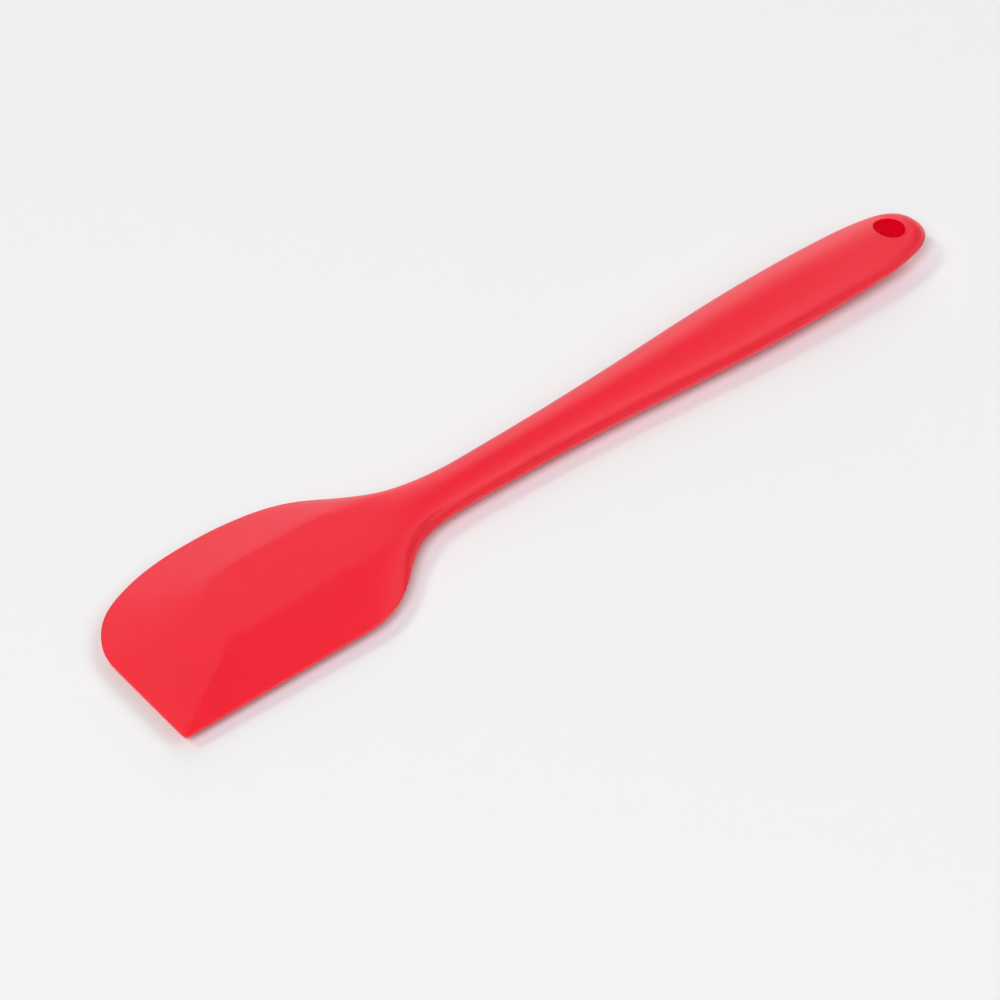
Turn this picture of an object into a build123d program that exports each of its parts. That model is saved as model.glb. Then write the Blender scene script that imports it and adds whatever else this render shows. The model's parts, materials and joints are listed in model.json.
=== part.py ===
"""Seamless silicone spatula: one red silicone moulding cured round a stiff inner core.

The model lies in its resting pose on a flat table: +X runs from the blade's tip to the
handle's end, +Z is up, and the origin lies under the middle of the whole box. Lengths are
in millimetres. Stations are measured along the handle's axis from the tip edge, offsets
across it, positive towards the rounded side of the blade, and heights from the mid-plane
between the two faces, which are mirror images of each other.
"""

import os
from math import atan2, cos, sin

from build123d import *

# Whole spatula
overall_length = 280.0  # tip edge to the rounded end of the handle

# Blade in plan
blade_length = 110.0  # tip edge to the narrowest place of the neck
straight_side_offset = 27.3
straight_side_length = 58.0  # the scraping side's straight run, before the heel turns in
round_side_offset = 28.3  # widest place of the rounded side
round_side_station = 42.0  # station of that widest place
tip_edge_length = 31.3  # straight part of the tip edge, from the sharp corner
tip_corner_radius = 1.0

# Blade in section: a flat middle, bevelled down to a thin rim on every side
rim_thickness = 1.0
plateau_thickness = 8.0
tip_bevel_length = 27.0
ridge_offset = 11.1  # both ridges lie this far from the handle's axis
ridge_end_station = 62.0  # where the ridges start to turn in to the neck
round_ridge_station = 38.0  # where the rounded side's ridge becomes straight
hip_radius = 2.0

# Handle: an oval rod, slim at the neck and fullest at the belly
neck_width = 14.6
neck_thickness = 9.0
belly_width = 23.3
belly_thickness = 13.2
belly_station = 232.0

# Root of the rod and neck of the blade, each buried in the other
root_depth = 38.0  # how far the rod runs on into the blade, past the neck
root_width = 20.0
root_thickness = 7.4
rim_neck_width = 13.8
plateau_neck_width = 5.6

# Hanging hole
hole_radius = 4.6
hole_to_end = 11.4
hole_rim_radius = 0.6  # rounding of both mouths

# Core, wholly inside the silicone
grip_wall = 2.4  # silicone over the core's rod
core_end_to_hole = 8.0
core_edge_radius = 0.5
tongue_depth = 66.0  # how far the tongue runs into the blade, past the neck
tongue_taper_length = 26.0  # its last stretch before the neck, where it slims
tongue_thickness = 3.0
tongue_width = 14.0
tongue_neck_width = 7.0
lock_hole_radius = 2.5
lock_hole_pitch = 13.0
lock_hole_count = 3
lock_hole_to_tip = 9.0

# Outline of the rim, each point a share of the way along and of its side's offset: the
# round corner from the tip to the widest place, each heel from its side's end to the neck
round_corner_shares = ((0.119, 0.603), (0.357, 0.847), (0.6, 0.95))
round_heel_shares = ((0.338, 0.895), (0.559, 0.612), (0.691, 0.42), (0.824, 0.305))
straight_heel_shares = ((0.192, 0.936), (0.423, 0.638), (0.615, 0.37), (0.808, 0.284))

# Both ridges from ridge_end_station to the neck, as shares of the way and of ridge_offset
ridge_fade_shares = ((0.25, 1.0), (0.46, 0.83), (0.625, 0.56), (0.79, 0.38))

# Ovals of the handle: share of the way from neck to belly, then of the change in width
# and in thickness
neck_to_belly_shares = (
    (0.0, 0.0, 0.0),
    (0.123, 0.01, 0.10),
    (0.246, 0.07, 0.24),
    (0.369, 0.20, 0.36),
    (0.492, 0.39, 0.48),
    (0.615, 0.60, 0.62),
    (0.738, 0.83, 0.76),
    (0.861, 0.965, 0.90),
    (1.0, 1.0, 1.0),
)

# Ovals past the belly: share of the way to the end, then of the belly's width and thickness
belly_to_end_shares = (
    (0.333, 0.985, 0.91),
    (0.5, 0.963, 0.833),
    (0.646, 0.92, 0.757),
    (0.75, 0.857, 0.682),
    (0.833, 0.777, 0.611),
    (0.906, 0.656, 0.531),
    (0.958, 0.487, 0.42),
    (0.986, 0.3, 0.27),
)

# Resting pose: the underside touches the table at the plateau's tip crease and the belly
rim_half = rim_thickness / 2
plateau_half = plateau_thickness / 2
belly_half = belly_thickness / 2
lay_angle = atan2(belly_half - plateau_half, belly_station - tip_bevel_length)
mid_plane = Plane(
    origin=(
        -overall_length / 2 * cos(lay_angle),
        (straight_side_offset - round_side_offset) / 2,
        plateau_half * cos(lay_angle) - tip_bevel_length * sin(lay_angle),
    ),
    x_dir=(cos(lay_angle), 0, sin(lay_angle)),
    z_dir=(-sin(lay_angle), 0, cos(lay_angle)),
)


def cross_plane(station):
    """Plane square to the handle's axis, offsets to the right and heights up."""
    origin = mid_plane.from_local_coords((station, 0, 0))
    return Plane(origin=origin, x_dir=mid_plane.y_dir, z_dir=mid_plane.x_dir)


def rod_sections():
    """Station, width and thickness of each oval of the handle, from root to end."""
    yield blade_length - root_depth, root_width, root_thickness
    yield (
        blade_length - root_depth / 2,
        (root_width + neck_width) / 2,
        (root_thickness + neck_thickness) / 2,
    )
    for along, wider, thicker in neck_to_belly_shares:
        yield (
            blade_length + along * (belly_station - blade_length),
            neck_width + wider * (belly_width - neck_width),
            neck_thickness + thicker * (belly_thickness - neck_thickness),
        )
    for along, width_share, thickness_share in belly_to_end_shares:
        yield (
            belly_station + along * (overall_length - belly_station),
            belly_width * width_share,
            belly_thickness * thickness_share,
        )


def oval(station, width, thickness):
    """Oval section of a rod, centred on the handle's axis."""
    with BuildSketch(cross_plane(station)) as section:
        Ellipse(width / 2, thickness / 2)
    return section.sketch


def between(start, end, shares, offset):
    """Points each a share of the way from start to end, out at a share of offset."""
    return [(start + along * (end - start), out * offset) for along, out in shares]


def corner_near_tip(plan):
    """The sharp corner of a blade outline, between its tip edge and its straight side."""
    return plan.vertices().sort_by(Axis.Y)[:2].sort_by(Axis.X)[0]


hole_station = overall_length - hole_to_end
core_end_station = hole_station - hole_radius - core_end_to_hole
tongue_tip_station = blade_length - tongue_depth

# Stiffening core: a rigid rod through the handle, flattened into a tongue that keys into
# the blade through its lock holes
with BuildSketch(mid_plane) as tongue_plan:
    with BuildLine():
        Line((tongue_tip_station, -tongue_width / 2), (tongue_tip_station, tongue_width / 2))
        for side in (-1, 1):
            FilletPolyline(
                (tongue_tip_station, side * tongue_width / 2),
                (blade_length - tongue_taper_length, side * tongue_width / 2),
                (blade_length, side * tongue_neck_width / 2),
                radius=tongue_width,
            )
        Line((blade_length, -tongue_neck_width / 2), (blade_length, tongue_neck_width / 2))
    make_face()
    fillet(tongue_plan.vertices().group_by(Axis.X)[0], tongue_width / 3)
    for count in range(lock_hole_count):
        with Locations((tongue_tip_station + lock_hole_to_tip + count * lock_hole_pitch, 0)):
            Circle(lock_hole_radius, mode=Mode.SUBTRACT)

core_ovals = [
    oval(station, width - 2 * grip_wall, thickness - 2 * grip_wall)
    for station, width, thickness in rod_sections()
    if blade_length <= station <= hole_station
]

with BuildPart() as core:
    loft(sections=core_ovals)
    split(bisect_by=cross_plane(core_end_station), keep=Keep.BOTTOM)
    fillet(core.faces().sort_by(Axis.X)[-1].edges(), core_edge_radius)
    extrude(tongue_plan.sketch, amount=tongue_thickness / 2, both=True)

core.part.label = "stiffening_core"

# Silicone: blade, neck and handle in one moulding round the core
corner_end = tip_edge_length - straight_side_offset
with BuildSketch(mid_plane.offset(rim_half)) as rim_plan:
    with BuildLine():
        Polyline(
            (0, corner_end),
            (0, -straight_side_offset),
            (straight_side_length, -straight_side_offset),
        )
        Spline(
            (straight_side_length, -straight_side_offset),
            *between(
                straight_side_length, blade_length, straight_heel_shares, -straight_side_offset
            ),
            (blade_length, -rim_neck_width / 2),
            tangents=((1, 0), (1, 0)),
        )
        Line((blade_length, -rim_neck_width / 2), (blade_length, rim_neck_width / 2))
        Spline(
            (round_side_station, round_side_offset),
            *between(round_side_station, blade_length, round_heel_shares, round_side_offset),
            (blade_length, rim_neck_width / 2),
            tangents=((1, 0), (1, 0)),
        )
        Spline(
            (0, corner_end),
            *between(0, round_side_station, round_corner_shares, round_side_offset),
            (round_side_station, round_side_offset),
            tangents=((0, 1), (1, 0)),
        )
    make_face()
    fillet(corner_near_tip(rim_plan), tip_corner_radius)

with BuildSketch(mid_plane.offset(plateau_half)) as plateau_plan:
    with BuildLine():
        Polyline(
            (tip_bevel_length, corner_end),
            (tip_bevel_length, -ridge_offset),
            (ridge_end_station, -ridge_offset),
        )
        Spline(
            (ridge_end_station, -ridge_offset),
            *between(ridge_end_station, blade_length, ridge_fade_shares, -ridge_offset),
            (blade_length, -plateau_neck_width / 2),
            tangents=((1, 0), (1, 0)),
        )
        Line((blade_length, -plateau_neck_width / 2), (blade_length, plateau_neck_width / 2))
        Spline(
            (round_ridge_station, ridge_offset),
            (ridge_end_station, ridge_offset),
            *between(ridge_end_station, blade_length, ridge_fade_shares, ridge_offset),
            (blade_length, plateau_neck_width / 2),
            tangents=((1, 0), (1, 0)),
        )
        Spline(
            (tip_bevel_length, corner_end),
            (round_ridge_station, ridge_offset),
            tangents=((0, 1), (1, 0)),
        )
    make_face()
    fillet(corner_near_tip(plateau_plan), hip_radius)

rod_ovals = [oval(*section) for section in rod_sections()]
rod_tip = Vertex(*mid_plane.from_local_coords((overall_length, 0, 0)))
hole_plane = Plane(
    origin=mid_plane.from_local_coords((hole_station, 0, 0)),
    x_dir=mid_plane.x_dir,
    z_dir=mid_plane.z_dir,
)

with BuildPart() as silicone:
    loft(sections=[rim_plan.sketch, plateau_plan.sketch], ruled=True)
    extrude(rim_plan.sketch, amount=-rim_half)
    mirror(about=mid_plane)
    loft(sections=[*rod_ovals, rod_tip])
    with Locations(hole_plane):
        Hole(hole_radius)
    bore = silicone.faces().filter_by(GeomType.CYLINDER).sort_by(Axis.X)[-1]
    fillet(bore.edges().filter_by(GeomType.LINE, reverse=True), hole_rim_radius)
    add(core.part, mode=Mode.SUBTRACT)

silicone.part.label = "silicone_body"

os.makedirs("parts", exist_ok=True)
export_step(core.part, "parts/stiffening_core.step")
export_step(silicone.part, "parts/silicone_body.step")

for piece in (silicone.part, core.part):
    print(piece.label, "solids", len(piece.solids()), "volume", round(piece.volume), piece.is_valid)
low = silicone.part.bounding_box().min
high = silicone.part.bounding_box().max
print("box", low, high, "bore centre", hole_plane.origin, "axis", hole_plane.z_dir)
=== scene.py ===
"""A red silicone spatula lying on a pale table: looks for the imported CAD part, in metres."""

import json
import math

import bmesh
import bpy
import numpy as np
from mathutils import Matrix, Vector


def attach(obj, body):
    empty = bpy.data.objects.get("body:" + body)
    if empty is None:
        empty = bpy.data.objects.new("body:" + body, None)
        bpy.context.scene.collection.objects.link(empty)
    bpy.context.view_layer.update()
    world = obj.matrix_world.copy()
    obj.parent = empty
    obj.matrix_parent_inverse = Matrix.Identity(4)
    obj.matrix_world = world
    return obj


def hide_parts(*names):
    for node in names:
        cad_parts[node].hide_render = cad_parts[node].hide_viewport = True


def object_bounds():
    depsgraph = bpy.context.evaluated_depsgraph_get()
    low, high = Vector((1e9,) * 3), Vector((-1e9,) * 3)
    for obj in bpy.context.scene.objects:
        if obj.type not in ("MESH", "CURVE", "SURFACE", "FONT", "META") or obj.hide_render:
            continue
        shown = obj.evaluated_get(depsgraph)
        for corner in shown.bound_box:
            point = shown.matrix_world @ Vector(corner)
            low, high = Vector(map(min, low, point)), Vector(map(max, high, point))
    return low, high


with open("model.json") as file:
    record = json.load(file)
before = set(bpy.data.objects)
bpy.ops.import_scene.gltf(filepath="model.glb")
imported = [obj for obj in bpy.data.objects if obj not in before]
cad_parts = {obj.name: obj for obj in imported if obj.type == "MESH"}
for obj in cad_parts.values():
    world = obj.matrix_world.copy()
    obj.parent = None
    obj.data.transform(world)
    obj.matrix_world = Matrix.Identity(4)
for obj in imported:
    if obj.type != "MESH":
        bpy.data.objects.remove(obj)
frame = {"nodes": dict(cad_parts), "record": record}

cad_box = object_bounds()
scene = bpy.context.scene
scene.view_settings.view_transform = "Standard"
bpy.ops.object.select_all(action="DESELECT")

# Camera: a long lens about 1.0 m off, looking down at 44.5 degrees from the straight side of
# the blade, so that the blade lies lower left and the handle upper right.
CAMERA_PLACE = (-0.467131, -0.553158, 0.691758)
CAMERA_TILT = math.radians(45.499)
CAMERA_ROLL = math.radians(-0.146)
CAMERA_TURN = math.radians(-39.1)
SENSOR_WIDTH = 36.0
FOCAL_LENGTH = 131.483

bpy.ops.object.camera_add(location=CAMERA_PLACE, rotation=(CAMERA_TILT, CAMERA_ROLL, CAMERA_TURN))
camera = bpy.context.object
camera.name = "camera"
camera.data.sensor_width = SENSOR_WIDTH
camera.data.lens = FOCAL_LENGTH
scene.camera = camera

# Table: a plain matt white table top, which is not part of the object. It lies at the foot of
# the CAD box, where the blade's flat and the handle's belly touch it.
TABLE_SIZE = 4.0
TABLE_COLOR = (0.885, 0.90, 0.91, 1)
bpy.ops.mesh.primitive_plane_add(size=TABLE_SIZE, location=(0, 0, cad_box[0].z))
table = bpy.context.object
table.name = "table_top"
table_paint = bpy.data.materials.new("matt white table")
table_paint.use_nodes = True
table_shader = table_paint.node_tree.nodes["Principled BSDF"]
table_shader.inputs["Base Color"].default_value = TABLE_COLOR
table_shader.inputs["Roughness"].default_value = 0.7
table.data.materials.append(table_paint)

# Light: soft lamps all round, the strongest from the left of the camera and more from the far
# side, so that the handle's far edge is bright and a short soft shadow falls on the near side.
# Only the camera sees the room as pale.
LAMP_DISTANCE = 5.0
COOL = (0.89, 0.92, 1.0)
WARM = (1.0, 1.0, 0.72)
ROSY = (1.0, 0.7, 0.72)
WHITE = (1.0, 1.0, 1.0)
LAMPS = (
    ("key_left", (-0.551, -0.330, 0.766), 2.2, 150.0, COOL),
    ("near_low", (-0.540, -0.677, 0.5), 2.2, 22.0, WHITE),
    ("back_left", (-0.499, 0.405, 0.766), 1.2, 50.0, WARM),
    ("far_high", (-0.010, 0.643, 0.766), 1.2, 12.0, WHITE),
    ("far", (0.353, 0.791, 0.5), 2.2, 30.0, ROSY),
    ("far_low", (0.621, 0.765, 0.174), 2.2, 30.0, ROSY),
    ("far_right", (0.701, 0.508, 0.5), 2.2, 12.0, WHITE),
    ("right_high", (0.631, 0.122, 0.766), 2.2, 19.0, WHITE),
    ("right", (0.562, -0.312, 0.766), 2.2, 25.0, WHITE),
    ("near_right", (0.508, -0.701, 0.5), 2.2, 26.0, WHITE),
    ("near_high", (0.230, -0.600, 0.766), 2.2, 27.5, WHITE),
)
for name, toward, size, power, color in LAMPS:
    place = Vector(toward) * LAMP_DISTANCE
    bpy.ops.object.light_add(type="AREA", location=place)
    lamp = bpy.context.object
    lamp.name = name
    lamp.rotation_euler = place.to_track_quat("Z", "Y").to_euler()
    lamp.data.size = size
    lamp.data.energy = power
    lamp.data.color = color
    lamp.visible_camera = False

ROOM_COLOR = (0.02, 0.02, 0.02, 1)
PALE_COLOR = (0.9, 0.9, 0.91, 1)
room = bpy.data.worlds.new("pale room")
scene.world = room
room.use_nodes = True
nodes = room.node_tree.nodes
links = room.node_tree.links
rays = nodes.new("ShaderNodeLightPath")
seen = nodes.new("ShaderNodeMix")
seen.data_type = "RGBA"
seen.inputs["A"].default_value = ROOM_COLOR
seen.inputs["B"].default_value = PALE_COLOR
links.new(rays.outputs["Is Camera Ray"], seen.inputs["Factor"])
links.new(seen.outputs["Result"], nodes["Background"].inputs["Color"])

# Silicone body: blade, neck, handle and hanging hole are one seamless moulding of matt red
# silicone, cured round the core. The two mould halves met half-way up, which leaves a narrow
# raised land along the handle. Both faces are alike, so one is modelled and mirrored.
MM = 0.001
RIM_TOP = 0.5  # half the thickness of the blade's rim
RIM_HEIGHTS = (0, 0.25, 0.36)  # of the loops up the rim, before it rounds over
RIM_INSET = 0.2  # how far in from the edge the rim's rounding ends
BEVEL_FOOT = 0.9  # how far in from the edge the bevel has taken its slope
FOOT_SHARE = 0.3  # but never further up the bevel than this share of it
MIDDLE_SHARE = 0.5  # of the bevel, where its last loop before the ridge lies
LEAST_SQUARE = 0.35  # a row that runs along the edge still counts as this square to it
BLADE_TOP = 4.0  # half the thickness of the blade's flat middle
NECK_TOP = 3.18  # height of the ridges where they have become part of the neck's oval
NECK_CROWN = 4.49  # half the thickness of the neck
TIP_BEVEL = 27.0  # from the tip edge to the flat middle
NECK_STATION = 104.3  # where the blade's last row meets the handle's ovals
HOLE_STATION = 268.6  # centre of the hanging hole
END_CENTRE = 263.5  # centre of the rounded end
END_TOP = 4.7  # half thickness that the rounded end's curve would reach over its centre
END_FULLNESS = 0.85  # a true ball has 1, and a smaller number bulges more
LAND_HEIGHT = 0.3  # how far the land along the parting line stands proud

# Stations between which the blade turns into the handle, for each thing that changes there
RIDGE_SINKS = (76, 106)
SIDE_TURNS = (67, 105)
CROWN_SWELLS = (72, 112)
CROWN_TURNS = (74, 104)

# Rows round the tip, from the sharp corner along the tip edge and on into the round corner:
# station from the tip edge and offset from the handle's axis of the outline and of the ridge
TIP_ROWS = (
    (0.3, -27.0, 27.3, -9.9),
    (0.0, -25.9, 27.0, -8.3),
    (0.0, -19.6, 27.0, -6.1),
    (0.0, -12.7, 27.0, -3.6),
    (0.0, -5.8, 27.0, -1.0),
    (0.0, 1.2, 27.0, 1.8),
    (0.55, 8.7, 27.5, 5.3),
    (4.1, 16.0, 29.8, 9.1),
)

# Outline of both sides half-way up, each point a station and an offset, and the stations of
# the rows that climb from it. The straight side needs few points, but has rows between them.
ROUND_EDGE = (
    (9.4, 21.1), (16.6, 24.55), (24.6, 26.8), (33, 28.0), (41, 28.3), (48.5, 28.12), (55, 27.45),
    (60.7, 26.5), (65.8, 25.1), (70.2, 23.4), (74.2, 21.25), (78.1, 18.7), (82, 16.1), (86, 13.6),
    (90, 11.5), (94.2, 9.95), (99, 8.7), (NECK_STATION, 7.8),
)
STRAIGHT_EDGE = (
    (1.4, 27.2), (46, 27.26), (54, 27.28), (60.3, 27.2), (65.4, 26.4), (69.7, 24.85),
    (73.9, 22.45), (78, 19.23), (82, 15.7), (86, 12.6), (90, 10.2), (94.2, 8.7), (99, 7.85),
    (NECK_STATION, 7.4),
)
ROUND_STATIONS = [station for station, _ in ROUND_EDGE]
STRAIGHT_STATIONS = [1.4, 9, 18, 27.5, 37] + [station for station, _ in STRAIGHT_EDGE[1:]]

# Ridges at the top of both bevels, each point a station and an offset
ROUND_RIDGE = (
    (33, 11.0), (38, 11.8), (48, 12.2), (58, 12.0), (66, 11.8), (72, 11.6), (77, 11.1), (83, 10.1),
    (88.3, 8.7), (91.5, 7.8), (95, 6.95), (99.3, 6.15), (NECK_STATION, 5.5),
)
STRAIGHT_RIDGE = (
    (27.5, 10.5), (36, 10.2), (47, 9.9), (57, 9.8), (66, 10.2), (73, 10.7), (79, 10.4), (85, 9.1),
    (88.2, 8.15), (91.5, 7.3), (95, 6.5), (99.3, 5.75), (NECK_STATION, 5.25),
)

# Half of the rounded end half-way up, each point a station and an offset
END_ARC = (
    (264.7, 10.6), (268.7, 9.9), (272.2, 9.0), (275.2, 7.74), (277.6, 5.95), (279.2, 3.65),
    (279.9, 1.27),
)

# The handle's ovals: half width and half thickness by station. They go on past the last oval,
# because the hole's rings follow them.
HANDLE_STATIONS = np.linspace(111, 260, 19)
HALF_WIDTHS = (
    (NECK_STATION, 7.4), (111, 7.29), (125, 7.36), (140.5, 7.65), (158, 8.33), (176, 9.36),
    (194, 10.54), (212, 11.42), (229.5, 11.67), (246, 11.55), (253.5, 11.35), (260, 11.04),
    *END_ARC[:4],
)
HALF_THICKNESSES = (
    (NECK_STATION, 4.44), (111, 4.48), (125, 4.70), (140.5, 5.00), (158, 5.28), (176, 5.60),
    (194, 5.97), (212, 6.32), (229.5, 6.59), (238, 6.52), (246, 6.12), (253.5, 5.65),
    (260, 5.21), (266, 4.82), (271, 4.12), (276, 3.3),
)

# Loops climb all the outline together, at these angles round the handle's ovals, from the
# parting line to the ridge. Columns of the crown cross it between the ridges.
OVAL_ANGLES = [math.radians(angle) for angle in (0, 4.0, 5.4, 16, 26.5, 36, 45)]
LAND_LOOP = 1
RIDGE_LOOP = len(OVAL_ANGLES) - 1
RIDGE_ANGLE = OVAL_ANGLES[RIDGE_LOOP]
CROWN_COLUMNS = len(TIP_ROWS) - 1
CROWN_FILL = 1.008  # smoothing pulls the crown in by this much


def along(points, station):
    """Height at a station of the smooth curve through points, each a station and a height."""
    x, y = np.array(points, float).T
    slope = np.gradient(y, x)
    i = int(np.clip(np.searchsorted(x, station) - 1, 0, len(x) - 2))
    run = x[i + 1] - x[i]
    t = (station - x[i]) / run
    rise = y[i + 1] - y[i]
    swing = slope[i] * (t - 2 * t * t + t ** 3) + slope[i + 1] * (t ** 3 - t * t)
    return float(y[i] + rise * (3 * t * t - 2 * t ** 3) + run * swing)


def ease(value, start, end):
    """Grows smoothly from 0 at start to 1 at end."""
    t = min(max((value - start) / (end - start), 0), 1)
    return t * t * (3 - 2 * t)


def side_rows(side, stations, edge, ridge):
    """Rows of one side: place on the outline, place and height of the ridge, and how far it
    has turned from blade, 0, to handle, 1."""
    rows = []
    for station in stations:
        across = TIP_BEVEL + station * (1 - TIP_BEVEL / NECK_STATION)
        edge_offset = side * along(edge, station)
        ridge_offset = side * along(ridge, across)
        top = BLADE_TOP + (NECK_TOP - BLADE_TOP) * ease(across, *RIDGE_SINKS)
        rows.append((station, edge_offset, across, ridge_offset, top, ease(station, *SIDE_TURNS)))
    for station in HANDLE_STATIONS:
        half_width = side * along(HALF_WIDTHS, station)
        top = along(HALF_THICKNESSES, station) * math.sin(RIDGE_ANGLE)
        rows.append((station, half_width, station, half_width * math.cos(RIDGE_ANGLE), top, 1))
    return rows


# The loop of rows: tip edge, round side, rounded end, and back along the straight side
tip_rows = [(*row, BLADE_TOP, 0) for row in TIP_ROWS]
far_rows = tip_rows + side_rows(1, ROUND_STATIONS, ROUND_EDGE, ROUND_RIDGE)
near_rows = side_rows(-1, STRAIGHT_STATIONS, STRAIGHT_EDGE, STRAIGHT_RIDGE)
end_places = [*END_ARC, *((station, -offset) for station, offset in reversed(END_ARC))]
end_rows = [(*place, *place, 0, 1) for place in end_places]
loop_rows = far_rows + end_rows + near_rows[::-1]
END_FIRST = len(far_rows)
END_LAST = END_FIRST + len(end_rows) - 1
count = len(loop_rows)


def inward_normals(points):
    """Unit vectors square to a closed outline, pointing into it."""
    run = np.roll(points, -1, 0) - np.roll(points, 1, 0)
    return np.stack([run[:, 1], -run[:, 0]], 1) / np.linalg.norm(run, axis=1)[:, None]


# The smoothing draws each point of a curved outline towards its neighbours, by a sixth for each,
# so the points first go out by as much, apart from those of the sharp corner
wanted = np.array([row[:2] for row in loop_rows])
outline = wanted.copy()
SHARP_CORNER = [0, 1, count - 1]
CORRECTIONS = 12
for _ in range(CORRECTIONS):
    smoothed = (np.roll(outline, 1, 0) + 4 * outline + np.roll(outline, -1, 0)) / 6
    normals = inward_normals(outline)
    push = ((wanted - smoothed) * normals).sum(1)
    push[SHARP_CORNER] = 0
    outline += normals * push[:, None]
inward = inward_normals(wanted)


def crown_top(station):
    """Half thickness on the axis, where the flat middle swells into the handle."""
    if station < NECK_STATION:
        return BLADE_TOP + (NECK_CROWN - BLADE_TOP) * ease(station, *CROWN_SWELLS)
    return along(HALF_THICKNESSES, station)


def loop_point(i, k):
    """Vertex i of loop k: loop 0 is the parting line half-way up, the last one the ridge."""
    station, offset = outline[i]
    _, _, ridge_station, ridge_offset, ridge_top, turn = loop_rows[i]
    angle = OVAL_ANGLES[k]
    if END_FIRST <= i <= END_LAST:
        reach = np.array((station - END_CENTRE, offset))
        if k > LAND_LOOP:
            reach = reach * (1 - LAND_HEIGHT / np.linalg.norm(reach)) * math.cos(angle) ** END_FULLNESS
        return END_CENTRE + reach[0], reach[1], END_TOP * math.sin(angle)
    if k == RIDGE_LOOP:
        return ridge_station, ridge_offset, ridge_top
    land = LAND_HEIGHT * turn * np.sign(offset) if k <= LAND_LOOP else 0
    oval = np.array((station, offset * math.cos(angle) + land, crown_top(station) * math.sin(angle)))
    edge = np.array((station, offset))
    climb = np.array((ridge_station, ridge_offset)) - edge
    length = np.linalg.norm(climb)
    square = max(LEAST_SQUARE, abs((climb * inward[i]).sum()) / length)
    if k < len(RIM_HEIGHTS):
        share, top = 0, RIM_HEIGHTS[k]
    elif k == len(RIM_HEIGHTS):
        share, top = RIM_INSET / square / length, RIM_TOP
    else:
        foot_share = min(BEVEL_FOOT / square / length, FOOT_SHARE)
        share = foot_share if k < RIDGE_LOOP - 1 else MIDDLE_SHARE
        top = RIM_TOP + (ridge_top - RIM_TOP) * share
    blade = np.array((*(edge + climb * share), top))
    return tuple(blade * (1 - turn) + oval * turn)


# The circle only brings the right number of points, and each is moved to its place
bpy.ops.mesh.primitive_circle_add(vertices=count, radius=0.1, fill_type="NOTHING", location=(0, 0, 0))
body = bpy.context.object
body.name = "silicone_spatula"
bpy.ops.object.mode_set(mode="EDIT")
mesh = body.data


def select_chain(chain, closed=False):
    """Selects the edges that join a chain of vertices, and nothing else."""
    bpy.ops.mesh.select_mode(type="EDGE")
    bpy.ops.mesh.select_all(action="DESELECT")
    bm = bmesh.from_edit_mesh(mesh)
    bm.verts.ensure_lookup_table()
    for a, b in zip(chain, chain[1:] + chain[:1] if closed else chain[1:]):
        bm.edges.get((bm.verts[a], bm.verts[b])).select_set(True)
    bmesh.update_edit_mesh(mesh)


def move_vertices(chain, points):
    """Moves each vertex of a chain to its point, given in millimetres."""
    bpy.ops.mesh.select_mode(type="VERT")
    for index, point in zip(chain, points):
        bpy.ops.mesh.select_all(action="DESELECT")
        bm = bmesh.from_edit_mesh(mesh)
        bm.verts.ensure_lookup_table()
        bm.verts[index].select_set(True)
        step = Vector(point) * MM - bm.verts[index].co
        bmesh.update_edit_mesh(mesh)
        bpy.ops.transform.translate(value=step)


def extend(chain, points, closed=False):
    """Extrudes a chain of edges and moves the new vertices to the points."""
    select_chain(chain, closed)
    bpy.ops.mesh.extrude_region_move()
    bm = bmesh.from_edit_mesh(mesh)
    bm.verts.ensure_lookup_table()
    # A new vertex still lies on the one that it was extruded from
    at = {tuple(round(c, 8) for c in v.co): v.index for v in bm.verts if v.select}
    new = [at[tuple(round(c, 8) for c in bm.verts[i].co)] for i in chain]
    move_vertices(new, points)
    return new


rings = [list(range(count))]
move_vertices(rings[0], [loop_point(i, 0) for i in range(count)])
for k in range(1, RIDGE_LOOP + 1):
    rings.append(extend(rings[-1], [loop_point(i, k) for i in range(count)], closed=True))
ridge_ring = rings[RIDGE_LOOP]

# The crown between the ridges, row by row from the tip's crease to the hole
row = ridge_ring[: CROWN_COLUMNS + 1]
near_ridge = [loop_point(count - 1 - j, RIDGE_LOOP) for j in range(len(near_rows))]
far_ridge = [loop_point(i, RIDGE_LOOP) for i in range(len(tip_rows), len(far_rows))]
for near, far in zip(near_ridge, far_ridge):
    middle = (near[0] + far[0]) / 2
    swell = crown_top(middle) * (CROWN_FILL if middle > NECK_STATION else 1)
    turn = ease(middle, *CROWN_TURNS)
    points = []
    for m in range(CROWN_COLUMNS + 1):
        share = m / CROWN_COLUMNS
        angle = RIDGE_ANGLE + share * (math.pi - 2 * RIDGE_ANGLE)
        rounded = (1 - math.cos(angle) / math.cos(RIDGE_ANGLE)) / 2
        across = share * (1 - turn) + rounded * turn
        edge_top = near[2] * (1 - share) + far[2] * share
        rise = (math.sin(angle) - math.sin(RIDGE_ANGLE)) / (1 - math.sin(RIDGE_ANGLE))
        points.append((
            near[0] * (1 - across) + far[0] * across,
            near[1] * (1 - across) + far[1] * across,
            edge_top + (swell - edge_top) * rise,
        ))
    row = extend(row, points)

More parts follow.
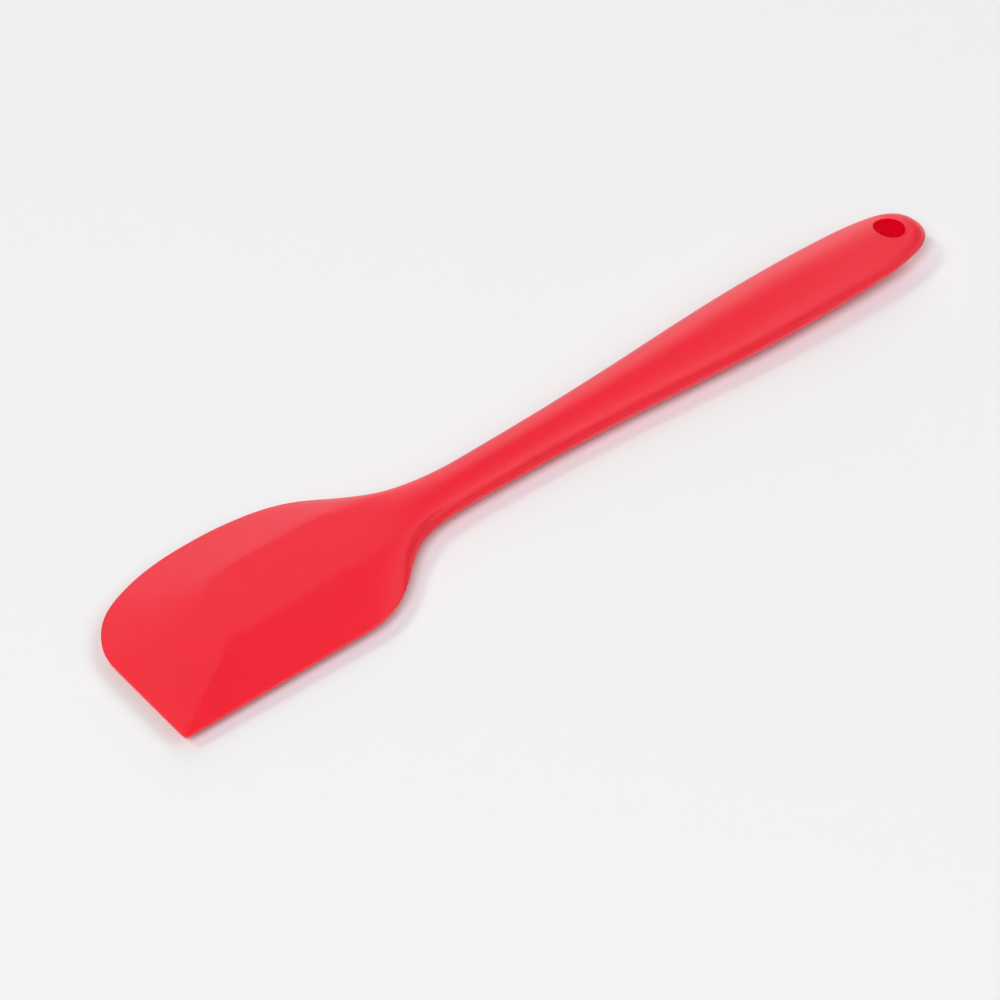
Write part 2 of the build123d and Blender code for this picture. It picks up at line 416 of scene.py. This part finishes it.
# The hanging hole: the crown's last row and the ridge round the handle's end close in on it,
# in rings of a radius, a drop below the crown, and 1 on the crown or 0 half-way down the bore
HOLE_RINGS = (
    (6.1, 0, 1),
    (5.2, 0, 1),
    (4.84, -0.01, 1),
    (4.69, -0.1, 1),
    (4.663, -0.4, 1),
    (4.663, 0, 0),
)
end_arc = ridge_ring[END_FIRST - 1: END_LAST + 2]
step_angle = 2 * math.pi / (CROWN_COLUMNS + len(end_arc) - 1)
row_angles = [math.pi + step_angle * (CROWN_COLUMNS / 2 - m) for m in range(CROWN_COLUMNS + 1)]
arc_angles = [math.pi - step_angle * (CROWN_COLUMNS / 2 + m) for m in range(len(end_arc))]
for chain, angles in ((row, row_angles), (end_arc, arc_angles)):
    for radius, drop, on_top in HOLE_RINGS:
        points = []
        for angle in angles:
            station = HOLE_STATION + radius * math.cos(angle)
            offset = radius * math.sin(angle)
            lean = offset / along(HALF_WIDTHS, station)
            height = along(HALF_THICKNESSES, station) * math.sqrt(1 - lean * lean)
            points.append((station, offset, (height + drop) * on_top))
        chain = extend(chain, points)


def crease_edges(chain, weight):
    """Keeps a chain of edges crisp under the smoothing."""
    select_chain(chain)
    bpy.ops.transform.edge_crease(value=weight)


# Both ridges are crisp beside the flat middle and soften towards the neck, the corner's bevels
# meet in a crisp mitre, and the land keeps its edge
RIDGE_CREASE = 0.6
ROUND_RIDGE_CREASE = 0.7
LAND_CREASE = 0.9
CRISP_ROWS = 8
handle_rows = len(HANDLE_STATIONS)
crease_edges(ridge_ring[-CRISP_ROWS:], RIDGE_CREASE)
crease_edges(ridge_ring[len(tip_rows): len(tip_rows) + CRISP_ROWS + 1], ROUND_RIDGE_CREASE)
crease_edges([rings[RIDGE_LOOP - 1][0], ridge_ring[0], ridge_ring[-1]], RIDGE_CREASE)
crease_edges(rings[LAND_LOOP][END_FIRST - handle_rows: END_LAST + handle_rows + 1], LAND_CREASE)

bpy.ops.mesh.select_mode(type="VERT")
bpy.ops.mesh.select_all(action="SELECT")
bpy.ops.mesh.remove_doubles(threshold=1e-6)
bpy.ops.mesh.normals_make_consistent(inside=False)
bpy.ops.object.mode_set(mode="OBJECT")

mirror = body.modifiers.new("other_face", "MIRROR")
mirror.use_axis = (False, False, True)
mirror.merge_threshold = 1e-5
smooth = body.modifiers.new("smooth", "SUBSURF")
smooth.levels = 2
smooth.render_levels = 2
bpy.ops.object.modifier_apply(modifier=mirror.name)
bpy.ops.object.modifier_apply(modifier=smooth.name)
bpy.ops.object.shade_smooth()

# It lies on the blade's flat and the handle's belly, so the axis climbs slightly
mount = frame["record"]["mounts"][0]
lie = math.atan2(-mount["axis"][0], mount["axis"][2])
tip_place = Vector(mount["pos_m"]) - Vector((math.cos(lie), 0, math.sin(lie))) * HOLE_STATION * MM
body.matrix_world = Matrix.Translation(tip_place) @ Matrix.Rotation(-lie, 4, "Y")
bpy.ops.object.transform_apply(location=True, rotation=True, scale=True)
bpy.ops.object.mode_set(mode="EDIT")
bpy.ops.mesh.select_all(action="SELECT")
bpy.ops.mesh.normals_make_consistent(inside=False)
bpy.ops.object.mode_set(mode="OBJECT")

# Moulded grain, for both plastics: a cloudy drift of the colour, and a fine grain that roughens
# the surface and its polish
moulded_grain = bpy.data.node_groups.new("moulded grain", "ShaderNodeTree")
sockets = moulded_grain.interface
for name, kind, value in (
    ("Place", "NodeSocketVector", None),
    ("Cloud Scale", "NodeSocketFloat", 60.0),
    ("Grain Scale", "NodeSocketFloat", 2600.0),
    ("Grain Strength", "NodeSocketFloat", 0.3),
    ("Least Roughness", "NodeSocketFloat", 0.2),
    ("Most Roughness", "NodeSocketFloat", 0.6),
):
    socket = sockets.new_socket(name=name, in_out="INPUT", socket_type=kind)
    if value is not None:
        socket.default_value = value
sockets.new_socket(name="Cloud", in_out="OUTPUT", socket_type="NodeSocketFloat")
sockets.new_socket(name="Roughness", in_out="OUTPUT", socket_type="NodeSocketFloat")
sockets.new_socket(name="Normal", in_out="OUTPUT", socket_type="NodeSocketVector")
nodes = moulded_grain.nodes
links = moulded_grain.links
given = nodes.new("NodeGroupInput")
result = nodes.new("NodeGroupOutput")
cloud = nodes.new("ShaderNodeTexNoise")
cloud.inputs["Detail"].default_value = 4
grain = nodes.new("ShaderNodeTexNoise")
grain.inputs["Detail"].default_value = 2
bump = nodes.new("ShaderNodeBump")
bump.inputs["Distance"].default_value = 0.0001
polish = nodes.new("ShaderNodeMapRange")
links.new(given.outputs["Place"], cloud.inputs["Vector"])
links.new(given.outputs["Place"], grain.inputs["Vector"])
links.new(given.outputs["Cloud Scale"], cloud.inputs["Scale"])
links.new(given.outputs["Grain Scale"], grain.inputs["Scale"])
links.new(given.outputs["Grain Strength"], bump.inputs["Strength"])
links.new(given.outputs["Least Roughness"], polish.inputs["To Min"])
links.new(given.outputs["Most Roughness"], polish.inputs["To Max"])
links.new(grain.outputs["Fac"], bump.inputs["Height"])
links.new(grain.outputs["Fac"], polish.inputs["Value"])
links.new(cloud.outputs["Fac"], result.inputs["Cloud"])
links.new(polish.outputs["Result"], result.inputs["Roughness"])
links.new(bump.outputs["Normal"], result.inputs["Normal"])

ROUGHNESS_SPREAD = 0.5  # how far the grain takes the roughness up and down, as a share of it


def moulded_material(name, low_color, high_color, cloud_scale, grain_strength, roughness):
    """A moulded plastic whose colour drifts between two tints under a fine matt grain."""
    material = bpy.data.materials.new(name)
    material.use_nodes = True
    nodes = material.node_tree.nodes
    links = material.node_tree.links
    shader = nodes["Principled BSDF"]
    place = nodes.new("ShaderNodeTexCoord")
    skin = nodes.new("ShaderNodeGroup")
    skin.node_tree = moulded_grain
    skin.inputs["Cloud Scale"].default_value = cloud_scale
    skin.inputs["Grain Strength"].default_value = grain_strength
    skin.inputs["Least Roughness"].default_value = roughness * (1 - ROUGHNESS_SPREAD)
    skin.inputs["Most Roughness"].default_value = roughness * (1 + ROUGHNESS_SPREAD)
    tint = nodes.new("ShaderNodeMix")
    tint.data_type = "RGBA"
    tint.inputs["A"].default_value = low_color
    tint.inputs["B"].default_value = high_color
    links.new(place.outputs["Object"], skin.inputs["Place"])
    links.new(skin.outputs["Cloud"], tint.inputs["Factor"])
    links.new(tint.outputs["Result"], shader.inputs["Base Color"])
    links.new(skin.outputs["Roughness"], shader.inputs["Roughness"])
    links.new(skin.outputs["Normal"], shader.inputs["Normal"])
    return material


silicone = moulded_material(
    "matt red silicone",
    low_color=(0.85, 0.001, 0.019, 1),
    high_color=(0.91, 0.002, 0.025, 1),
    cloud_scale=60,
    grain_strength=0.7,
    roughness=0.37,
)
shader = silicone.node_tree.nodes["Principled BSDF"]
shader.inputs["IOR"].default_value = 1.5
shader.inputs["Subsurface Weight"].default_value = 0.6
shader.inputs["Subsurface Radius"].default_value = (1.0, 0.06, 0.08)
shader.inputs["Subsurface Scale"].default_value = 0.002
shader.inputs["Sheen Weight"].default_value = 0.6
shader.inputs["Sheen Roughness"].default_value = 0.5
shader.inputs["Sheen Tint"].default_value = (1.0, 0.25, 0.28, 1)
body.data.materials.clear()
body.data.materials.append(silicone)

# The bore's wall takes a copy of the silicone with no sheen and almost no gloss, which darkens the
# hole: painted shade in the bore
BORE_REACH = 4.72 * MM  # the wall's faces lie nearer to the bore's axis than this
shaded_bore_wall = silicone.copy()
shaded_bore_wall.name = "red silicone shaded in the bore"
shader = shaded_bore_wall.node_tree.nodes["Principled BSDF"]
shader.inputs["Specular IOR Level"].default_value = 0.05
shader.inputs["Sheen Weight"].default_value = 0
body.data.materials.append(shaded_bore_wall)
bore_centre = Vector(mount["pos_m"]).xy
bpy.ops.object.mode_set(mode="EDIT")
bpy.ops.mesh.select_mode(type="FACE")
bpy.ops.mesh.select_all(action="DESELECT")
bm = bmesh.from_edit_mesh(mesh)
# The faces of the bore's wall get the darkened copy, the painted shade in the hole
for face in bm.faces:
    face.select_set((face.calc_center_median().xy - bore_centre).length < BORE_REACH)
body.active_material_index = 1
bpy.ops.object.material_slot_assign()
bpy.ops.object.mode_set(mode="OBJECT")

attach(body, "root")
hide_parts("silicone_body")

# Stiffening core: a rigid rod and tongue of natural glass-filled nylon, moulded first and
# then sealed inside the silicone, where it keys in through the holes of its tongue.
core = frame["nodes"]["stiffening_core"]
nylon = moulded_material(
    "natural nylon",
    low_color=(0.58, 0.56, 0.50, 1),
    high_color=(0.66, 0.64, 0.59, 1),
    cloud_scale=90,
    grain_strength=0.4,
    roughness=0.55,
)
for slot in core.material_slots:
    slot.material = nylon
